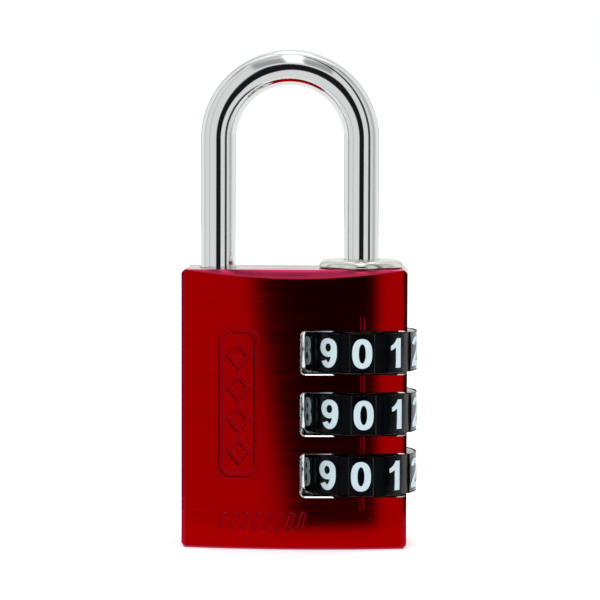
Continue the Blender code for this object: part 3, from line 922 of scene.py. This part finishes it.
# ---- shackle and collar
def make_shackle():
    foot, toe = SHACKLE_LOW.z, SOCKET_FLOOR + TOE_GAP
    bow_x = (STACK_X + TOE_X) / 2.0
    # Each ring's place, and its radius as a share of the rod's.
    centres = [(STACK_X, foot, ROD_TIP), (STACK_X, foot + ROD_CHAMFER, 1.0), (STACK_X, BOW_Z * 0.5, 1.0)]
    centres += [(x, z, 1.0) for x, z in arc(BOW_RADIUS, 0.0, math.pi, 128, (bow_x, BOW_Z))]
    centres += [(TOE_X, (BOW_Z + toe) / 2.0, 1.0), (TOE_X, toe + ROD_CHAMFER, 1.0), (TOE_X, toe, ROD_TIP)]
    rings = []
    sides = 64
    for x, z, share in centres:
        if z > BOW_Z:
            out = Vector((x - bow_x, 0.0, z - BOW_Z)).normalized()
        else:
            out = Vector((1.0 if x > bow_x else -1.0, 0.0, 0.0))
        ring = []
        for side in range(sides):
            angle = FULL_TURN * side / sides
            ring.append(Vector((x, 0.0, z)) + (out * math.cos(angle) + Vector((0.0, math.sin(angle), 0.0)))
                        * (ROD_RADIUS * share))
        rings.append(ring)
    shackle = loft("shackle_rod", rings)
    for number in (1, 2, 3):
        low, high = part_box(f"lug_pin_{number}")
        radius = (high.z - low.z) / 2.0 + PIN_CLEARANCE
        place = (STACK_X, (low.z + high.z) / 2.0)
        hole = cylinder("pin_hole", radius, -2.0 * ROD_RADIUS, high.y + PIN_HOLE_EXTRA, "Y", place, 32)
        cut(shackle, hole, material=CHROME)
    paint(shackle, CHROME)
    smooth(shackle, 30.0)
    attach(shackle, "shackle")
    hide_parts("shackle")


def make_collar():
    flange = COLLAR_HIGH.x - STACK_X
    seat = BODY_TOP + 0.05 * MM
    top = COLLAR_HIGH.z
    hole, spigot = 2.55 * MM, 4.9 * MM
    mouth = 0.42 * MM
    shoulder = 0.85 * MM
    dome = shoulder * 1.35
    rim = 0.2 * MM
    profile = [(hole, COLLAR_LOW.z), (hole, top - mouth)]
    profile += arc(mouth, math.pi, math.pi / 2, 6, (hole + mouth, top - mouth))[1:]
    profile += ellipse(dome, shoulder, 90.0, 0.0, 10, (flange - dome, top - shoulder))
    profile += arc(rim, 0.0, -math.pi / 2, 4, (flange - rim, seat + rim))
    profile += [(spigot, seat), (spigot, COLLAR_LOW.z)]
    collar = turned("collar_bush", profile, (STACK_X, 0.0), 128)
    paint(collar, NICKEL)
    smooth(collar, 35.0)
    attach(collar, "lock")
    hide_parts("shackle_collar")


# ---- inner pieces
def make_ball(number):
    centre = middle(f"detent_ball_{number}") - Vector((BALL_SETBACK, 0.0, 0.0))
    rings = []
    for row in range(1, BALL_ROWS):
        angle = math.pi * row / BALL_ROWS
        x = centre.x + BALL_RADIUS * math.cos(angle)
        around = circle(BALL_RADIUS * math.sin(angle), BALL_SIDES)
        rings.append([(x, centre.y + a, centre.z + b) for a, b in around])
    ball = loft(f"ball_{number}", rings)
    paint(ball, STEEL)
    smooth(ball, 60.0)
    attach(ball, f"detent_{number}")
    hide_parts(f"detent_ball_{number}")


def make_inner():
    for number in (1, 2, 3):
        make_ball(number)
        spring = coil(f"ball_spring_{number}", f"detent_spring_{number}", "X", *BALL_SPRING)
        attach(spring, "lock")
        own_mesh(spring)
        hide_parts(f"detent_spring_{number}")
    spring = coil("carriage_spring", "reset_spring", "Z", *RESET_SPRING)
    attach(spring, "lock")
    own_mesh(spring)
    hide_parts("reset_spring")
    for name, material in (("clutch_sleeve", BRASS), ("lug_pin", STEEL)):
        for number in (1, 2, 3):
            paint(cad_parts[f"{name}_{number}"], material)
    paint(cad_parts["thrust_washer"], STEEL)


def coil(name, node, axis, turns, wire):
    """A helical spring that fills its node's box along an axis."""
    low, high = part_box(node)
    centre = (low + high) / 2.0
    radius = (high.y - low.y) / 2.0 - wire
    start, end = (low.z + wire, high.z - wire) if axis == "Z" else (low.x + wire, high.x - wire)
    steps = round(turns * COIL_STEPS)
    path = []
    for step in range(steps + 1):
        share = step / steps
        angle = FULL_TURN * turns * share
        a, b, reach = radius * math.cos(angle), radius * math.sin(angle), start + (end - start) * share
        upright = (centre.x + a, centre.y + b, reach)
        path.append(upright if axis == "Z" else (reach, centre.y + b, centre.z - a))
    spring = tube(name, path, wire, 12)
    paint(spring, SPRING)
    smooth(spring, 50.0)
    return spring


# ---- studio
CAMERA_PLACE = (15.0 * MM, -380.0 * MM, 58.0 * MM)
CAMERA_TURN = 2.177        # degrees about Z, then down, then about the line of sight
CAMERA_PITCH = 3.795
CAMERA_ROLL = 0.171
SENSOR = 36.0
LENS = 170.1

# The tent of light. Angles are in degrees; back and up are shares of the way from the object to the tent.
WALL_LEVEL = 0.80
OVERHEAD = (50.0, 72.0, 0.0, 0.75)       # elevations where the roof sets in and is full, and what it adds
REAR = (0.0, 0.45, 0.0, 0.12)            # the same for the rear wall, going back
# Azimuth from the front towards the right, half width and softness in degrees, and how dark each seam is.
DARK_SEAMS = ((53.5, 7.6, 2.0, 0.94), (92.0, 14.0, 6.0, 0.30), (-56.0, 2.0, 1.5, 0.40),
              (-96.0, 2.5, 1.5, 0.45), (152.0, 5.0, 3.0, 0.35), (-148.0, 6.0, 3.0, 0.45))
# Two greyer roof panels in front, either side of a bright ridge: lean from upright, elevation, and going back.
PANELS = ((19.0, 11.5, 2.5), (27.0, 33.0), (-0.10, 0.05), 0.52)
RIDGE = ((5.5, 7.0), (28.0, 34.0), (-0.10, 0.03), 0.6)
# A hot lamp in the roof behind, for the upward edges: going back, lean and strength.
LAMP = ((0.41, 0.10, 0.05), (7.0, 14.0), 1.5)
# A greyer joint along the middle of the roof: going back, going up, and how dark it is.
JOINT = ((0.08, 0.18, 0.05), (0.6, 0.8), 0.34)
TENT_COLOUR = (0.985, 1.0, 1.0, 1.0)
BACKDROP_LEVEL = 1.02
FLOOR_GLOW = 0.34
FLOOR_REACH = 8.0
FLOOR_DROP = 0.02 * MM
TABLE_NEAR = (-0.6, -26.0 * MM)
TABLE_FAR = (0.6, 0.9)
TABLE_DROP = 0.03 * MM

CARD_Y = -400.0 * MM
CARD_BEND = 12.0 * MM           # above this height the opening's left side is upright, below it leans in
CARD_LEFT = (-88.0 * MM, 0.92, 23.0 * MM)      # where the side stands, how fast it leans in, how soft it is
CARD_RIGHT = (127.0 * MM, 0.0, 16.0 * MM)
CARD_TOP = 215.0 * MM
CARD_TOP_SOFT = 16.0 * MM
CARD_BOTTOM = -95.0 * MM
CARD_BOTTOM_SOFT = 12.0 * MM
CARD_MARGIN = 20.0 * MM
CARD_COLOUR = (0.75, 0.85, 1.0, 1.0)
CARD_GLOW = 0.012

LAMP_PANEL = (0.5, 0.4)
LAMP_PLACE = (0.05, -0.02, 0.55)
LAMP_POWER = 1.2


def make_camera():
    data = bpy.data.cameras.new("camera")
    data.sensor_width = SENSOR
    data.lens = LENS
    data.clip_start = 0.01
    data.clip_end = 20.0
    camera = bpy.data.objects.new("camera", data)
    bpy.context.scene.collection.objects.link(camera)
    camera.location = CAMERA_PLACE
    turn = Matrix.Rotation(math.radians(CAMERA_TURN), 4, "Z")
    look = Matrix.Rotation(math.radians(90.0 - CAMERA_PITCH), 4, "X")
    roll = Matrix.Rotation(math.radians(CAMERA_ROLL), 4, "Z")
    camera.rotation_euler = (turn @ look @ roll).to_euler()
    bpy.context.scene.camera = camera


def quad(name, low, high, upright=False):
    """A rectangle between two corners, lying at z = 0 or standing at y = 0."""
    corners = [low, (high[0], low[1]), high, (low[0], high[1])]
    mesh = bpy.data.meshes.new(name)
    mesh.from_pydata([(a, 0.0, b) if upright else (a, b, 0.0) for a, b in corners], [], [(0, 1, 2, 3)])
    return add_mesh(name, mesh)


def only_in_reflections(item):
    for ray in ("camera", "diffuse", "shadow", "transmission"):
        setattr(item, "visible_" + ray, False)


def make_floor():
    floor = quad("floor", (-FLOOR_REACH, -FLOOR_REACH), (FLOOR_REACH, FLOOR_REACH))
    floor.location.z = -FLOOR_DROP
    kit = Paint("floor_paper", (0.90, 0.90, 0.90), 0.9, 0.0)
    kit.set("Specular IOR Level", 0.0)
    kit.set("Emission Color", (1.0, 1.0, 1.0, 1.0))
    kit.set("Emission Strength", FLOOR_GLOW)
    paint(floor, kit.material)
    floor.visible_glossy = False


def make_table_edge():
    """The part of the table that shows in the object: it ends a little in front."""
    table = quad("table_edge", TABLE_NEAR, TABLE_FAR)
    table.location.z = -TABLE_DROP
    kit = Paint("table_paper", (0.92, 0.92, 0.92), 0.9, 0.0)
    kit.set("Specular IOR Level", 0.0)
    paint(table, kit.material)
    only_in_reflections(table)


class Wiring:
    """Short names for the math nodes of one node tree."""

    def __init__(self, tree):
        self.nodes, self.links = tree.nodes, tree.links

    def put(self, socket, value):
        if isinstance(value, (int, float)):
            socket.default_value = value
        else:
            self.links.new(value, socket)

    def math(self, operation, first, second=None):
        node = self.nodes.new("ShaderNodeMath")
        node.operation = operation
        self.put(node.inputs[0], first)
        if second is not None:
            self.put(node.inputs[1], second)
        return node.outputs[0]

    def times(self, first, second):
        return self.math("MULTIPLY", first, second)

    def plus(self, first, second):
        return self.math("ADD", first, second)

    def step(self, value, start, end, low=0.0, high=1.0):
        """A smooth change from low to high as value goes from start to end."""
        node = self.nodes.new("ShaderNodeMapRange")
        node.interpolation_type = "SMOOTHSTEP"
        for name, number in (("From Min", start), ("From Max", end), ("To Min", low), ("To Max", high)):
            node.inputs[name].default_value = number
        self.put(node.inputs["Value"], value)
        return node.outputs["Result"]

    def inside(self, value, centre, half_width, softness):
        """1 within half_width of centre, fading to 0 outside."""
        distance = self.math("ABSOLUTE", self.math("SUBTRACT", value, centre))
        return self.step(distance, half_width - softness, half_width + softness, 1.0, 0.0)

    def dim(self, level, mask, depth):
        return self.times(level, self.math("SUBTRACT", 1.0, self.times(mask, depth)))


def make_world():
    """A pale tent around the object with a few darker seams, and a plain white backdrop."""
    world = bpy.data.worlds.new("studio")
    bpy.context.scene.world = world
    world.use_nodes = True
    world.node_tree.nodes.clear()
    wire = Wiring(world.node_tree)
    nodes, links = wire.nodes, wire.links
    split = nodes.new("ShaderNodeSeparateXYZ")
    links.new(nodes.new("ShaderNodeTexCoord").outputs["Generated"], split.inputs[0])
    x, y, z = split.outputs["X"], split.outputs["Y"], split.outputs["Z"]
    degrees = 180.0 / math.pi
    azimuth = wire.times(wire.math("ARCTAN2", x, wire.times(y, -1.0)), degrees)
    elevation = wire.times(wire.math("ARCSINE", z), degrees)
    lean = wire.math("ABSOLUTE", wire.times(wire.math("ARCTAN2", x, z), degrees))

    level = wire.plus(WALL_LEVEL, wire.step(elevation, *OVERHEAD))
    level = wire.plus(level, wire.step(y, *REAR))
    for *seam, depth in DARK_SEAMS:
        level = wire.dim(level, wire.inside(azimuth, *seam), depth)
    across, rise, end, depth = PANELS
    panels = wire.times(wire.inside(lean, *across), wire.step(elevation, *rise))
    level = wire.dim(level, wire.times(panels, wire.step(y, *end, 1.0, 0.0)), depth)
    across, rise, end, glow = RIDGE
    ridge = wire.times(wire.step(lean, *across, 1.0, 0.0), wire.step(elevation, *rise))
    level = wire.plus(level, wire.times(wire.times(ridge, wire.step(y, *end, 1.0, 0.0)), glow))
    back, across, glow = LAMP
    lamp = wire.times(wire.inside(y, *back), wire.step(lean, *across, 1.0, 0.0))
    level = wire.plus(level, wire.times(lamp, glow))
    back, rise, depth = JOINT
    level = wire.dim(level, wire.times(wire.inside(y, *back), wire.step(z, *rise)), depth)
    camera_ray = nodes.new("ShaderNodeLightPath").outputs["Is Camera Ray"]
    level = wire.plus(wire.times(level, wire.math("SUBTRACT", 1.0, camera_ray)),
                      wire.times(camera_ray, BACKDROP_LEVEL))
    background = nodes.new("ShaderNodeBackground")
    background.inputs["Color"].default_value = TENT_COLOUR
    links.new(level, background.inputs["Strength"])
    links.new(background.outputs[0], nodes.new("ShaderNodeOutputWorld").inputs[0])


def make_lens_card():
    """The dark opening of the tent that the camera looks through, seen only in reflections."""
    low = (CARD_LEFT[0] - CARD_LEFT[2], CARD_BOTTOM - CARD_MARGIN)
    high = (CARD_RIGHT[0] + CARD_RIGHT[2], CARD_TOP + CARD_MARGIN)
    card = quad("lens_card", low, high, upright=True)
    card.location.y = CARD_Y
    material = bpy.data.materials.new("lens_card")
    material.use_nodes = True
    material.node_tree.nodes.clear()
    wire = Wiring(material.node_tree)
    split = wire.nodes.new("ShaderNodeSeparateXYZ")
    wire.links.new(wire.nodes.new("ShaderNodeTexCoord").outputs["Object"], split.inputs[0])
    x, z = split.outputs["X"], split.outputs["Z"]
    under = wire.math("MAXIMUM", wire.math("SUBTRACT", CARD_BEND, z), 0.0)
    cover = wire.step(z, CARD_TOP - CARD_TOP_SOFT, CARD_TOP + CARD_TOP_SOFT, 1.0, 0.0)
    cover = wire.times(cover, wire.step(z, CARD_BOTTOM - CARD_BOTTOM_SOFT, CARD_BOTTOM + CARD_BOTTOM_SOFT))
    for (place, slant, soft), way in ((CARD_LEFT, 1.0), (CARD_RIGHT, -1.0)):
        edge = wire.plus(wire.times(under, slant * way), place)
        inwards = wire.times(wire.math("SUBTRACT", x, edge), way)
        cover = wire.times(cover, wire.step(inwards, -soft, soft))
    glow = wire.nodes.new("ShaderNodeEmission")
    glow.inputs["Color"].default_value = CARD_COLOUR
    glow.inputs["Strength"].default_value = CARD_GLOW
    mix = wire.nodes.new("ShaderNodeMixShader")
    wire.links.new(cover, mix.inputs[0])
    wire.links.new(wire.nodes.new("ShaderNodeBsdfTransparent").outputs[0], mix.inputs[1])
    wire.links.new(glow.outputs[0], mix.inputs[2])
    wire.links.new(mix.outputs[0], wire.nodes.new("ShaderNodeOutputMaterial").inputs[0])
    card.data.materials.append(material)
    only_in_reflections(card)


def make_lights():
    data = bpy.data.lights.new("overhead_panel", "AREA")
    data.shape = "RECTANGLE"
    data.size, data.size_y = LAMP_PANEL
    data.energy = LAMP_POWER
    lamp = bpy.data.objects.new("overhead_panel", data)
    bpy.context.scene.collection.objects.link(lamp)
    lamp.location = LAMP_PLACE
    lamp.visible_camera = False
    lamp.visible_glossy = False


make_camera()
make_floor()
make_table_edge()
make_world()
make_lens_card()
make_lights()
make_body()
make_wheels()
make_shackle()
make_collar()
make_inner()
bpy.context.scene.view_settings.view_transform = "Standard"

bpy.context.view_layer.update()
